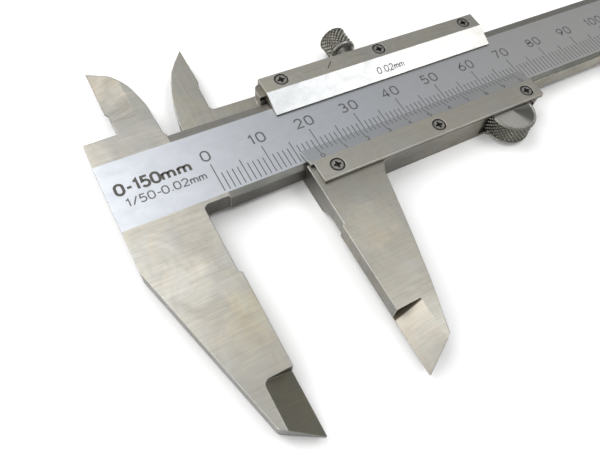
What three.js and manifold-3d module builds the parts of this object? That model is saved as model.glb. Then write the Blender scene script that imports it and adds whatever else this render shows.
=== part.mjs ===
// A 0-150 mm four-use vernier caliper with a top lock screw and a thumb roller, drawn at a reading of 18.8 mm.
// Working frame: X runs along the main scale from its zero line, Y across the beam (inside jaws +Y, outside
// jaws -Y) with Y = 0 at the lower edge of the satin scale face, and Z = 0 on that face, +Z towards the reader.
import * as THREE from "three";
import { mergeVertices } from "three/addons/utils/BufferGeometryUtils.js";
import Module from "manifold-3d";

const wasm = await Module();
wasm.setup();

// ---- driving dimensions, millimetres ----
const OPENING = 18.8;          // distance between the outside measuring faces as drawn
const BEAM_FACE = 14.0;        // width of the satin scale face
const BEAM_LOW = -1.1;         // lower guide edge of the beam
const BEAM_TOP = 16.0;         // upper guide edge of the beam
const BEAM_T = 3.6;            // beam thickness
const BEAM_LEFT = -18.2;       // left edge of the fixed jaw block
const BEAM_RIGHT = 212.0;      // right end of the beam
const EDGE_DROP = 0.5;         // depth of the sloped shoulders beside the scale face
const FIXED_FACE = -4.0;       // X of the fixed outside measuring face
const MOVING_FACE = FIXED_FACE + OPENING;
const JAW_RELIEF = 0.55;       // set-back of the fixed jaw above its measuring face
const MOVING_RELIEF = 0.4;     // the same on the moving jaw
const FACE_TOP = -15.0;        // Y where the outside measuring faces start
const KNIFE_TOP = -32.4;       // Y where the knife part of the outside jaws starts
const JAW_TIP = -43.6;         // Y of the outside jaw points
const INSIDE_TIP = 36.8;       // Y of the inside jaw points
const INSIDE_EDGE = -12.4;     // X of the fixed inside measuring edge
const INSIDE_STEP = 26.0;      // Y where the fixed inside measuring edge starts
const MOVING_STEP = 27.4;      // the same on the moving inside jaw
const INSIDE_BEVEL = -7.6;     // X where the bevel of the fixed inside jaw starts
const MID_Z = -1.8;            // plane where the two inside jaws pass each other
const MID_GAP = 0.1;           // play between the two inside jaws
const RUN = 0.1;               // running clearance between the slider and the beam
const GAP = 0.03;              // fitting gap between parts screwed together
const FRAME_FRONT = 0.6;       // front of the slider rails and of the moving outside jaw
const FRAME_BACK = -4.8;       // back of the slider
const FRAME_LEFT = MOVING_FACE + MOVING_RELIEF;
const JAW_BACK = -2.8;         // back of the moving outside jaw
const RAIL_END = 14.7;         // left end of the upper rail of the frame
const RAIL_LEFT = 15.8;        // left end of the cover plate
const FRAME_RIGHT = 70.0;
const RAIL_LOW = -6.0;         // lower edge of the lower rail
const RAIL_TOP = 20.2;         // upper edge of the upper rail
const GIB_SPACE = 0.9;         // room between the beam and the upper rail for the leaf spring
const COVER_TOP = 2.05;        // front of the upper cover plate
const COVER_FOLD = 16.3;       // Y where the cover plate starts to slope down to the scale
const COVER_EDGE = 11.9;       // Y of the sloped lower edge of the cover plate
const COVER_RIGHT = 69.0;
const VERNIER_TOP = 1.4;       // front of the vernier plate
const VERNIER_FOLD = -1.2;     // Y where the vernier plate starts to slope down to the scale
const VERNIER_EDGE = 2.3;      // Y of its reading edge
const EDGE_Z = 0.35;           // front of both thin reading edges
const COVER_SCREWS = [20.0, 42.9, 65.6];
const COVER_SCREW_Y = 18.4;
const VERNIER_SCREWS = [20.2, 43.5, 66.9];
const VERNIER_SCREW_Y = -3.6;
const SCREW_HEAD_R = 1.4;
const SCREW_SHANK_R = 0.6;
const WHEEL_R = 5.2;           // thumb roller, over the knurl
const WHEEL_X = 61.3;
const WHEEL_Y = BEAM_LOW - 0.03 - WHEEL_R;
const WHEEL_LOW = -4.1;
const WHEEL_HIGH = 0.5;
const WHEEL_TEETH = 44;
const PIN_R = 1.0;
const LOCK_X = 37.4;
const LOCK_Z = -1.4;
const LOCK_R = 3.05;           // lock screw head, over the knurl
const LOCK_TEETH = 32;
const ROD_Y = 7.4;             // middle of the depth rod and of its groove
const ROD_HALF = 1.5;
const ROD_BACK = -3.55;
const ROD_FRONT = -2.1;
const ROD_LEFT = 58.0;
const ROD_RIVETS = [63.0, 67.0];
const STOP_LEFT = 204.0;
const STOP_X = 208.0;
const STOP_T = 0.6;
const STOP_SCREWS = [2.6, 12.2];

// ---- helpers ----
function toManifold(geometry) {
  const bare = new THREE.BufferGeometry();
  const flat = geometry.index ? geometry.toNonIndexed() : geometry;
  bare.setAttribute("position", flat.getAttribute("position").clone());
  const merged = mergeVertices(bare, 1e-4);
  const mesh = new wasm.Mesh({
    numProp: 3,
    vertProperties: new Float32Array(merged.attributes.position.array),
    triVerts: new Uint32Array(merged.index.array),
  });
  mesh.merge();
  return new wasm.Manifold(mesh);
}

function toMesh(solid, name, colour, roughness, metalness) {
  const m = solid.getMesh();
  const points = new Float32Array(m.numVert * 3);
  for (let i = 0; i < m.numVert; i++) {
    points.set(m.vertProperties.subarray(i * m.numProp, i * m.numProp + 3), i * 3);
  }
  const g = new THREE.BufferGeometry();
  g.setAttribute("position", new THREE.BufferAttribute(points, 3));
  g.setIndex(new THREE.BufferAttribute(new Uint32Array(m.triVerts), 1));
  g.computeVertexNormals();
  const mesh = new THREE.Mesh(
    g,
    new THREE.MeshStandardMaterial({ color: colour, roughness, metalness }),
  );
  mesh.name = name;
  return mesh;
}

// Corner list [x, y, radius] turned into a closed outline with rounded corners.
function outline(corners) {
  const out = [];
  const n = corners.length;
  for (let i = 0; i < n; i++) {
    const p = new THREE.Vector2(corners[i][0], corners[i][1]);
    const r = corners[i][2] || 0;
    if (!r) {
      out.push(p);
      continue;
    }
    const a = new THREE.Vector2(...corners[(i + n - 1) % n].slice(0, 2)).sub(p).normalize();
    const b = new THREE.Vector2(...corners[(i + 1) % n].slice(0, 2)).sub(p).normalize();
    const half = Math.acos(THREE.MathUtils.clamp(a.dot(b), -1, 1)) / 2;
    const reach = r / Math.tan(half);
    const start = p.clone().addScaledVector(a, reach);
    const end = p.clone().addScaledVector(b, reach);
    const centre = p.clone().addScaledVector(a.clone().add(b).normalize(), r / Math.sin(half));
    const a0 = Math.atan2(start.y - centre.y, start.x - centre.x);
    let turn = Math.atan2(end.y - centre.y, end.x - centre.x) - a0;
    if (turn > Math.PI) turn -= 2 * Math.PI;
    if (turn < -Math.PI) turn += 2 * Math.PI;
    const steps = Math.max(2, Math.round(Math.abs(turn) / 0.22));
    for (let k = 0; k <= steps; k++) {
      const t = a0 + (turn * k) / steps;
      out.push(new THREE.Vector2(centre.x + r * Math.cos(t), centre.y + r * Math.sin(t)));
    }
  }
  return out;
}

// A flat plate: the outline in XY, from z0 to z1.
function plate(corners, z0, z1) {
  const shape = new THREE.Shape(outline(corners));
  const g = new THREE.ExtrudeGeometry(shape, { depth: z1 - z0, bevelEnabled: false });
  g.translate(0, 0, z0);
  return toManifold(g);
}

// A bar along X with its cross-section given as [y, z] corners.
function barX(section, x0, x1) {
  const shape = new THREE.Shape(outline(section));
  const g = new THREE.ExtrudeGeometry(shape, { depth: x1 - x0, bevelEnabled: false });
  g.applyMatrix4(new THREE.Matrix4().set(0, 0, 1, x0, 1, 0, 0, 0, 0, 1, 0, 0, 0, 0, 0, 1));
  return toManifold(g);
}

// A bar along Y with its cross-section given as [x, z] corners.
function barY(section, y0, y1) {
  const shape = new THREE.Shape(outline(section));
  const g = new THREE.ExtrudeGeometry(shape, { depth: y1 - y0, bevelEnabled: false });
  g.applyMatrix4(new THREE.Matrix4().set(1, 0, 0, 0, 0, 0, -1, y1, 0, 1, 0, 0, 0, 0, 0, 1));
  return toManifold(g);
}

function box(x0, x1, y0, y1, z0, z1) {
  const g = new THREE.BoxGeometry(x1 - x0, y1 - y0, z1 - z0);
  g.translate((x0 + x1) / 2, (y0 + y1) / 2, (z0 + z1) / 2);
  return toManifold(g);
}

// A turned solid about Z at (x, y) from a [radius, z] profile that starts and ends on the axis, low end first.
function turnedZ(profile, x, y, steps = 28) {
  const g = new THREE.LatheGeometry(profile.map(([r, z]) => new THREE.Vector2(r, z)), steps);
  g.rotateX(Math.PI / 2);
  g.translate(x, y, 0);
  return toManifold(g);
}

// A turned solid about Y at (x, z), from a [radius, y] profile, low end first.
function turnedY(profile, x, z, steps = 28) {
  const g = new THREE.LatheGeometry(profile.map(([r, y]) => new THREE.Vector2(r, y)), steps);
  g.translate(x, 0, z);
  return toManifold(g);
}

function knurledOutline(radius, depth, teeth) {
  const points = [];
  for (let i = 0; i < teeth * 2; i++) {
    const r = i % 2 ? radius - depth : radius;
    const a = (i * Math.PI) / teeth;
    points.push([r * Math.cos(a), r * Math.sin(a)]);
  }
  return points;
}

// ---- the beam with its two fixed jaws ----
function beamAndOutsideJaw() {
  const corner = FIXED_FACE - JAW_RELIEF;
  return plate(
    [
      [BEAM_LEFT, BEAM_TOP, 0],
      [BEAM_LEFT, -8.2, 2.5],
      [-10.1, -39.7, 1.0],
      [FIXED_FACE, JAW_TIP, 0.15],
      [FIXED_FACE, FACE_TOP, 0.15],
      [corner, FACE_TOP + 0.4, 0.3],
      [corner, -0.75, 1.0],
      [0.1, -0.75, 0.6],
      [0.35, BEAM_LOW, 0],
      [BEAM_RIGHT, BEAM_LOW, 1.2],
      [BEAM_RIGHT, BEAM_TOP, 1.2],
    ],
    -BEAM_T,
    0,
  );
}

function fixedInsideJaw() {
  return plate(
    [
      [BEAM_LEFT, BEAM_TOP - 1, 0],
      [BEAM_LEFT, 19.2, 0.3],
      [-12.0, 19.3, 0.3],
      [-12.0, INSIDE_STEP - 0.8, 0.4],
      [INSIDE_EDGE, INSIDE_STEP, 0.2],
      [INSIDE_EDGE, INSIDE_TIP, 0],
      [-8.7, 33.6, 2.5],
      [-6.3, 29.6, 9],
      [-5.0, 24.0, 12],
      [-4.7, BEAM_TOP, 0.6],
      [-3.0, BEAM_TOP, 0],
      [-3.0, BEAM_TOP - 1, 0],
    ],
    MID_Z + MID_GAP / 2,
    0,
  );
}

function mainBeam() {
  const beyond = BEAM_RIGHT + 1;
  const topShoulder = barX([[BEAM_FACE, 0], [BEAM_TOP, -EDGE_DROP], [BEAM_TOP + 1, -EDGE_DROP],
    [BEAM_TOP + 1, 1], [BEAM_FACE, 1]], -4.3, beyond);
  const lowShoulder = barX([[0, 0], [0, 1], [BEAM_LOW - 1, 1], [BEAM_LOW - 1, -EDGE_DROP],
    [BEAM_LOW, -EDGE_DROP]], 0.35, beyond);
  const outsideKnife = barY([[-9.0, 0], [-9.0, 1], [FIXED_FACE + 1, 1], [FIXED_FACE + 1, -3.0],
    [FIXED_FACE, -3.0]], JAW_TIP - 1, KNIFE_TOP + 1).intersect(plate([[-9.0, KNIFE_TOP, 1.0],
    [-9.0, JAW_TIP - 1, 0], [0, JAW_TIP - 1, 0], [0, KNIFE_TOP, 0]], -BEAM_T, 2));
  const insideKnife = barY([[INSIDE_BEVEL, 0], [INSIDE_BEVEL, 1], [INSIDE_EDGE - 1, 1],
    [INSIDE_EDGE - 1, MID_Z + 0.3], [INSIDE_EDGE, MID_Z + 0.3]], 22.4, INSIDE_TIP + 1);
  const groove = box(30, beyond, ROD_Y - ROD_HALF - 0.2, ROD_Y + ROD_HALF + 0.2, -BEAM_T - 1, ROD_FRONT + 0.1);
  let solid = beamAndOutsideJaw().add(fixedInsideJaw());
  for (const cut of [topShoulder, lowShoulder, outsideKnife, insideKnife, groove]) {
    solid = solid.subtract(cut);
  }
  for (const y of STOP_SCREWS) {
    solid = solid.subtract(turnedZ([[0, -BEAM_T - 1], [0.75, -BEAM_T - 1], [0.75, -1.5], [0, -1.5]], STOP_X, y, 16));
  }
  return solid;
}

// ---- the slider frame with its two moving jaws ----
function movingOutsideJaw() {
  const jaw = plate(
    [
      [FRAME_LEFT, BEAM_LOW - 1.5, 0],
      [FRAME_LEFT, FACE_TOP + 0.4, 0.3],
      [MOVING_FACE, FACE_TOP, 0.15],
      [MOVING_FACE, JAW_TIP, 0.15],
      [20.4, -39.7, 1.0],
      [23.0, -30.5, 0],
      [25.0, -22.0, 0],
      [26.7, -14.0, 0],
      [27.9, -8.2, 1.5],
      [29.1, RAIL_LOW, 1.0],
      [31.0, RAIL_LOW + 0.01, 0],
      [31.0, BEAM_LOW - 1.5, 0],
    ],
    JAW_BACK,
    FRAME_FRONT,
  );
  const backPad = barX([[RAIL_LOW + 1, FRAME_BACK], [RAIL_LOW + 1, JAW_BACK + 0.4], [-10.2, JAW_BACK + 0.4],
    [-10.2, JAW_BACK], [-8.0, FRAME_BACK]], FRAME_LEFT, 27.2);
  const low = JAW_BACK + 0.2;
  const knife = barY([[19.5, FRAME_FRONT], [MOVING_FACE, low], [MOVING_FACE - 1, low],
    [MOVING_FACE - 1, FRAME_FRONT + 1], [19.5, FRAME_FRONT + 1]], JAW_TIP - 1, KNIFE_TOP);
  return jaw.add(backPad).subtract(knife);
}

function movingInsideJaw() {
  const edge = INSIDE_EDGE + OPENING;
  const front = MID_Z - MID_GAP / 2;
  const low = BEAM_TOP + RUN;
  const jaw = plate(
    [
      [-1.0, low, 0.3],
      [-1.0, 19.0, 14],
      [0.2, 25.4, 20],
      [2.4, 31.8, 16],
      [edge, INSIDE_TIP, 0],
      [edge, MOVING_STEP, 0.3],
      [edge - 0.5, MOVING_STEP - 1.2, 0.6],
      [edge - 0.7, 19.8, 1.0],
      [RAIL_LEFT + 1.5, 19.7, 0],
      [RAIL_LEFT + 1.5, BEAM_TOP + GIB_SPACE + 0.2, 0],
      [RAIL_LEFT, BEAM_TOP + GIB_SPACE + 0.2, 0],
      [RAIL_LEFT, low, 0],
    ],
    -BEAM_T,
    front,
  );
  const knife = barY([[edge + 1, -BEAM_T - 1], [edge + 1, front - 0.15], [edge, front - 0.15],
    [edge - 1.8, -BEAM_T - 1]], MOVING_STEP + 0.3, INSIDE_TIP + 1);
  const shelf = barX([[low, -BEAM_T], [BEAM_TOP + GIB_SPACE + 0.3, -BEAM_T], [BEAM_TOP + GIB_SPACE + 0.3, -0.3],
    [BEAM_TOP + GIB_SPACE, -0.3], [low, -1.6]], RAIL_END, RAIL_LEFT + 0.5);
  return jaw.add(shelf).subtract(knife);
}

function wheelPocket() {
  const r = WHEEL_R + 0.3;
  const round = turnedZ([[0, WHEEL_LOW - 0.1], [r, WHEEL_LOW - 0.1], [r, FRAME_FRONT + 1], [0, FRAME_FRONT + 1]],
    WHEEL_X, WHEEL_Y, 40);
  const corner = box(53.8, WHEEL_X, RAIL_LOW - 1, RAIL_LOW + 0.8, WHEEL_LOW - 0.1, FRAME_FRONT + 1);
  return round.add(corner);
}

function sliderFrame() {
  const channelFloor = -BEAM_T - RUN;
  const railFace = BEAM_TOP + GIB_SPACE;
  const back = plate(
    [
      [FRAME_LEFT, RAIL_LOW, 0],
      [56.0, RAIL_LOW, 0],
      [58.6, -8.0, 1.5],
      [WHEEL_X + 2.6, -8.4, 1.5],
      [FRAME_RIGHT - 3.0, -6.6, 0.8],
      [FRAME_RIGHT, -5.2, 0.4],
      [FRAME_RIGHT, RAIL_TOP, 0.6],
      [RAIL_END, RAIL_TOP, 1.4],
      [RAIL_END, BEAM_TOP, 0],
      [FRAME_LEFT, BEAM_TOP, 0],
    ],
    FRAME_BACK,
    channelFloor,
  );
  const lower = plate(
    [
      [FRAME_LEFT, RAIL_LOW, 0],
      [FRAME_RIGHT - 3.0, RAIL_LOW, 0],
      [FRAME_RIGHT - 3.0, -6.6, 0],
      [FRAME_RIGHT, -5.2, 0.4],
      [FRAME_RIGHT, BEAM_LOW - RUN, 0],
      [FRAME_LEFT, BEAM_LOW - RUN, 0],
    ],
    FRAME_BACK,
    FRAME_FRONT,
  );
  const upper = plate(
    [
      [RAIL_END, railFace, 0],
      [FRAME_RIGHT, railFace, 0],
      [FRAME_RIGHT, RAIL_TOP, 0.6],
      [RAIL_END, RAIL_TOP, 1.4],
    ],
    FRAME_BACK,
    FRAME_FRONT,
  );
  const rodSeat = box(61.0, 69.0, ROD_Y - 1.2, ROD_Y + 1.2, channelFloor - 0.1, ROD_BACK - 0.02);
  let solid = back.add(lower).add(upper).add(rodSeat).subtract(wheelPocket());
  solid = solid.add(movingOutsideJaw()).add(movingInsideJaw());
  for (const x of COVER_SCREWS) solid = solid.subtract(screwHole(x, COVER_SCREW_Y, FRAME_FRONT + 1));
  for (const x of VERNIER_SCREWS) solid = solid.subtract(screwHole(x, VERNIER_SCREW_Y, FRAME_FRONT + 1));
  for (const x of ROD_RIVETS) solid = solid.subtract(rivetSolid(x, 0.08));
  solid = solid.subtract(turnedZ([[0, FRAME_BACK - 1], [PIN_R + GAP, FRAME_BACK - 1],
    [PIN_R + GAP, WHEEL_LOW], [0, WHEEL_LOW]], WHEEL_X, WHEEL_Y, 20));
  solid = solid.subtract(turnedY([[0, railFace - 0.5], [1.33, railFace - 0.5], [1.33, RAIL_TOP + 1],
    [0, RAIL_TOP + 1]], LOCK_X, LOCK_Z, 20));
  return solid;
}

function screwHole(x, y, top) {
  const r = SCREW_SHANK_R + 0.08;
  return turnedZ([[0, -2.4], [r, -2.4], [r, top], [0, top]], x, y, 16);
}

// ---- plates screwed on the slider ----
function countersink(x, y, top) {
  const r = SCREW_HEAD_R + 0.06;
  const shank = SCREW_SHANK_R + 0.08;
  return turnedZ([[0, -1], [shank, -1], [shank, top - 0.85], [r, top - 0.26], [r, top + 1], [0, top + 1]], x, y, 28);
}

function upperCoverPlate() {
  const step = BEAM_TOP + GIB_SPACE - GAP;
  let solid = barX(
    [
      [COVER_EDGE, RUN, 0],
      [step, RUN, 0],
      [step, FRAME_FRONT + GAP, 0],
      [RAIL_TOP, FRAME_FRONT + GAP, 0],
      [RAIL_TOP, COVER_TOP, 0.1],
      [COVER_FOLD, COVER_TOP, 0],
      [COVER_EDGE, EDGE_Z, 0],
    ],
    RAIL_LEFT,
    COVER_RIGHT,
  );
  for (const x of COVER_SCREWS) solid = solid.subtract(countersink(x, COVER_SCREW_Y, COVER_TOP));
  return solid;
}

function vernierPlate() {
  const step = BEAM_LOW + 0.1;
  let solid = barX(
    [
      [RAIL_LOW, FRAME_FRONT + GAP, 0],
      [step, FRAME_FRONT + GAP, 0],
      [step, RUN, 0],
      [VERNIER_EDGE, RUN, 0],
      [VERNIER_EDGE, EDGE_Z, 0],
      [VERNIER_FOLD, VERNIER_TOP, 0],
      [RAIL_LOW + 0.2, VERNIER_TOP, 0],
      [RAIL_LOW, VERNIER_TOP - 0.2, 0],
    ],
    FRAME_LEFT + 0.45,
    FRAME_RIGHT,
  );
  const lowerLeft = box(0, FRAME_LEFT + 1.1, RAIL_LOW - 1, -1.8, -1, 3);
  const rightCorner = plate([[FRAME_RIGHT - 1.6, RAIL_LOW - 1, 0], [FRAME_RIGHT + 1, RAIL_LOW - 1, 0],
    [FRAME_RIGHT + 1, -4.9, 0]], -1, 3);
  solid = solid.subtract(lowerLeft).subtract(rightCorner);
  for (const x of VERNIER_SCREWS) solid = solid.subtract(countersink(x, VERNIER_SCREW_Y, VERNIER_TOP));
  return solid;
}

// ---- small parts ----
// A countersunk cross-recess screw with its head flush at z = top.
function crossScrew(x, y, top) {
  const low = top - 3.3;
  const head = turnedZ([[0, low], [SCREW_SHANK_R - 0.2, low], [SCREW_SHANK_R, low + 0.2],
    [SCREW_SHANK_R, top - 0.8], [SCREW_HEAD_R, top - 0.12], [SCREW_HEAD_R, top - 0.04],
    [SCREW_HEAD_R - 0.08, top], [0, top]], x, y, 28);
  const a = box(x - 0.8, x + 0.8, y - 0.19, y + 0.19, top - 0.55, top + 1);
  const b = box(x - 0.19, x + 0.19, y - 0.8, y + 0.8, top - 0.55, top + 1);
  return head.subtract(a).subtract(b);
}

function stopScrew(y) {
  const low = -BEAM_T - 1.18;
  const under = -BEAM_T - STOP_T - 2 * GAP;
  const head = turnedZ([[0, low], [1.3, low], [1.5, low + 0.2], [1.5, under], [0.65, under],
    [0.65, -1.9], [0, -1.9]], STOP_X, y, 24);
  return head.subtract(box(STOP_X - 2, STOP_X + 2, y - 0.2, y + 0.2, low - 1, low + 0.3));
}

function endStop() {
  let solid = plate([[STOP_LEFT, 0.6, 0.6], [BEAM_RIGHT - 0.4, 0.6, 0.6], [BEAM_RIGHT - 0.4, 14.3, 0.6],
    [STOP_LEFT, 14.3, 0.6]], -BEAM_T - GAP - STOP_T, -BEAM_T - GAP);
  for (const y of STOP_SCREWS) {
    solid = solid.subtract(turnedZ([[0, -6], [0.75, -6], [0.75, -3], [0, -3]], STOP_X, y, 16));
  }
  return solid;
}

function rivetSolid(x, extra) {
  const low = FRAME_BACK + (extra ? -1 : 0.02);
  const top = ROD_FRONT - (extra ? -1 : 0.03);
  const flat = FRAME_BACK + 0.42 + extra;
  return turnedZ([[0, low], [1.1 + extra, low], [1.1 + extra, flat], [0.6 + extra, flat],
    [0.6 + extra, top], [0, top]], x, ROD_Y, 20);
}

function depthRod() {
  const tip = BEAM_RIGHT + OPENING;
  let solid = plate([[ROD_LEFT, ROD_Y - ROD_HALF, 0.3], [tip - 4, ROD_Y - ROD_HALF, 0],
    [tip, ROD_Y - ROD_HALF, 0.2], [tip, ROD_Y + 0.2, 0.2], [tip - 4, ROD_Y + ROD_HALF, 0],
    [ROD_LEFT, ROD_Y + ROD_HALF, 0.3]], ROD_BACK, ROD_FRONT);
  for (const x of ROD_RIVETS) solid = solid.subtract(rivetSolid(x, 0.08));
  return solid;
}

function gibSpring() {
  const x0 = 17.0;
  const x1 = 68.4;
  const steps = 14;
  const thick = 0.32;
  const upper = [];
  const lower = [];
  for (let i = 0; i <= steps; i++) {
    const t = i / steps;
    const bow = 0.5 * (1 - Math.abs(Math.cos(2 * Math.PI * t)));
    const y = BEAM_TOP + GIB_SPACE - 0.05 - bow * 0.85;
    const x = x0 + (x1 - x0) * t;
    upper.push([x, y, 0]);
    lower.unshift([x, y - thick, 0]);
  }
  return plate([...upper, ...lower], -3.3, -0.1);
}

function lockScrew() {
  const neck = RAIL_TOP + 0.15;
  const head = RAIL_TOP + 3.2;
  const end = RAIL_TOP + 8.0;
  const tip = BEAM_TOP + GIB_SPACE - 0.02;
  const body = turnedY([[0, tip], [0.9, tip], [1.25, tip + 0.35], [1.25, neck], [2.0, neck],
    [2.0, neck + 0.6], [LOCK_R + 0.2, head], [LOCK_R + 0.2, end - 0.5], [LOCK_R - 0.5, end],
    [0, end]], LOCK_X, LOCK_Z, 44);
  const teeth = knurledOutline(LOCK_R, 0.22, LOCK_TEETH);
  const grip = barY(teeth.map(([a, b]) => [LOCK_X + a, LOCK_Z + b]), tip - 1, end + 1);
  return body.intersect(grip);
}

function thumbWheel() {
  const r = WHEEL_R + 0.2;
  const blank = turnedZ([[0, WHEEL_LOW], [r - 0.6, WHEEL_LOW], [r, WHEEL_LOW + 0.45], [r, WHEEL_HIGH - 0.45],
    [r - 0.6, WHEEL_HIGH], [0, WHEEL_HIGH]], WHEEL_X, WHEEL_Y, 56);
  const teeth = knurledOutline(WHEEL_R, 0.25, WHEEL_TEETH);
  const grip = plate(teeth.map(([a, b]) => [WHEEL_X + a, WHEEL_Y + b]), WHEEL_LOW - 1, WHEEL_HIGH + 1);
  const bore = turnedZ([[0, WHEEL_LOW - 1], [PIN_R + 0.06, WHEEL_LOW - 1], [PIN_R + 0.06, -0.6], [0, -0.6]],
    WHEEL_X, WHEEL_Y, 20);
  return blank.intersect(grip).subtract(bore);
}

function wheelPin() {
  return turnedZ([[0, FRAME_BACK + 0.05], [PIN_R, FRAME_BACK + 0.05], [PIN_R, -0.9], [PIN_R - 0.2, -0.7],
    [0, -0.7]], WHEEL_X, WHEEL_Y, 20);
}

// ---- assembly ----
const parts = new THREE.Group();
const STEEL = 0xb4b2ac;
parts.add(toMesh(mainBeam(), "main_beam", STEEL, 0.38, 0.9));
parts.add(toMesh(sliderFrame(), "slider_frame", 0xa3a19a, 0.4, 0.9));
parts.add(toMesh(upperCoverPlate(), "upper_cover_plate", 0xd9dde0, 0.45, 0.8));
parts.add(toMesh(vernierPlate(), "vernier_plate", 0xa8abae, 0.42, 0.85));
COVER_SCREWS.forEach((x, i) => {
  parts.add(toMesh(crossScrew(x, COVER_SCREW_Y, COVER_TOP - 0.05), "cover_screw_" + (i + 1), 0x6c6a64, 0.4, 0.9));
});
VERNIER_SCREWS.forEach((x, i) => {
  const screw = crossScrew(x, VERNIER_SCREW_Y, VERNIER_TOP - 0.05);
  parts.add(toMesh(screw, "vernier_screw_" + (i + 1), 0x6c6a64, 0.4, 0.9));
});
parts.add(toMesh(lockScrew(), "lock_screw", 0x8c8a82, 0.35, 0.95));
parts.add(toMesh(gibSpring(), "gib_spring", 0xa8813f, 0.4, 0.9));
parts.add(toMesh(depthRod(), "depth_rod", STEEL, 0.35, 0.9));
ROD_RIVETS.forEach((x, i) => {
  parts.add(toMesh(rivetSolid(x, 0), "depth_rod_rivet_" + (i + 1), 0x8f8d86, 0.4, 0.9));
});
parts.add(toMesh(endStop(), "end_stop", STEEL, 0.4, 0.9));
STOP_SCREWS.forEach((y, i) => {
  parts.add(toMesh(stopScrew(y), "stop_screw_" + (i + 1), 0x6c6a64, 0.4, 0.9));
});
parts.add(toMesh(thumbWheel(), "thumb_wheel", 0x8c8a82, 0.35, 0.95));
parts.add(toMesh(wheelPin(), "wheel_pin", 0x8f8d86, 0.35, 0.95));

// The origin sits under the middle of the whole, on the plane it rests on.
const bounds = new THREE.Box3().setFromObject(parts);
const middle = bounds.getCenter(new THREE.Vector3());
parts.position.set(-middle.x, -middle.y, -bounds.min.z);

const caliper = new THREE.Group();
caliper.name = "vernier_caliper";
caliper.add(parts);
export default caliper;
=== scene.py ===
import math

import bpy
from mathutils import Euler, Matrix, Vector


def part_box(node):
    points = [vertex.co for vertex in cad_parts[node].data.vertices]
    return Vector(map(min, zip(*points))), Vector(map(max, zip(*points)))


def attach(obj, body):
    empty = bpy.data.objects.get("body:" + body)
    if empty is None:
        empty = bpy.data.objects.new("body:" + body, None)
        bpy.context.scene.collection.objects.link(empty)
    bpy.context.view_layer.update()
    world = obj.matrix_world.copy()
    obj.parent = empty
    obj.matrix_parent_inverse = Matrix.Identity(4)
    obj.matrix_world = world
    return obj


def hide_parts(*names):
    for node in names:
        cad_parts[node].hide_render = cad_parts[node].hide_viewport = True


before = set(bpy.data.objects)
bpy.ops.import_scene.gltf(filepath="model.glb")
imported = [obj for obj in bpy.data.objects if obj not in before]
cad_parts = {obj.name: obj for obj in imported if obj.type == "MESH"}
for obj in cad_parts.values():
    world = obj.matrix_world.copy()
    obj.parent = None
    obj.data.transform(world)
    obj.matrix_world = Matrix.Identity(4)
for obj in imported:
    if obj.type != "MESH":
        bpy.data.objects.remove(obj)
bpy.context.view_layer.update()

# Millimetres, with X from the zero line, Y from the lower edge of the scale face and Z from that face.
MM = 0.001
X, Y = 0, 1
SCALE_FACE_W = 14.0     # width of the satin scale face
FIXED_LEFT = -18.2      # left edge of the beam
RAIL_TOP = 20.2         # top of the upper rail
KNIFE_TOP = -32.4       # where the knife part of the outside jaws starts
OPENING = 18.8          # reading at rest, where the vernier's zero line stands
MAIN_RANGE = 150        # engraved length of the main scale
VERNIER_STEPS = 50
VERNIER_STEP = 0.98     # length of one vernier division
# Slopes of the two plates, as Y and Z of the lower edge, then Y and Z of the upper edge.
COVER_SLOPE = (11.9, 0.35, 16.3, 2.05)
VERNIER_SLOPE = (-1.2, 1.4, 2.3, 0.35)
GROUND_LINES = (110, 3000, 400)     # grain of a ground face: cells a metre along X, Y and Z
FLOOR_GAP = 0.00002                 # keeps the floor just clear of the back of the slider
WHITE = (1.0, 1.0, 1.0)

beam_lo, beam_hi = (Vector(v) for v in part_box("main_beam"))
cover_lo, cover_hi = (Vector(v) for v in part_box("upper_cover_plate"))
plate_hi = Vector(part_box("vernier_plate")[1])
ZERO = Vector((beam_lo.x - FIXED_LEFT * MM, cover_hi.y - RAIL_TOP * MM, beam_hi.z))


def at(x, y, z=0.0):
    """A point given in millimetres from the zero line, the face's lower edge and the face itself."""
    return ZERO + Vector((x, y, z)) * MM


# ---------------------------------------------------------------- camera
CAMERA_AT = (-19.04, -51.39, 81.45)
CAMERA_TURN = (29.326, -8.264, -30.672)

cam_data = bpy.data.cameras.new("camera")
cam_data.sensor_width = 36.0
cam_data.lens = 33.03
cam_data.shift_x = -0.0833
cam_data.shift_y = 0.025
cam_data.clip_start = 0.005
cam_data.clip_end = 20.0
camera = bpy.data.objects.new("camera", cam_data)
camera.location = at(*CAMERA_AT)
camera.rotation_euler = Euler([math.radians(a) for a in CAMERA_TURN])
bpy.context.scene.collection.objects.link(camera)
bpy.context.scene.camera = camera
bpy.context.scene.view_settings.view_transform = "Standard"


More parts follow.
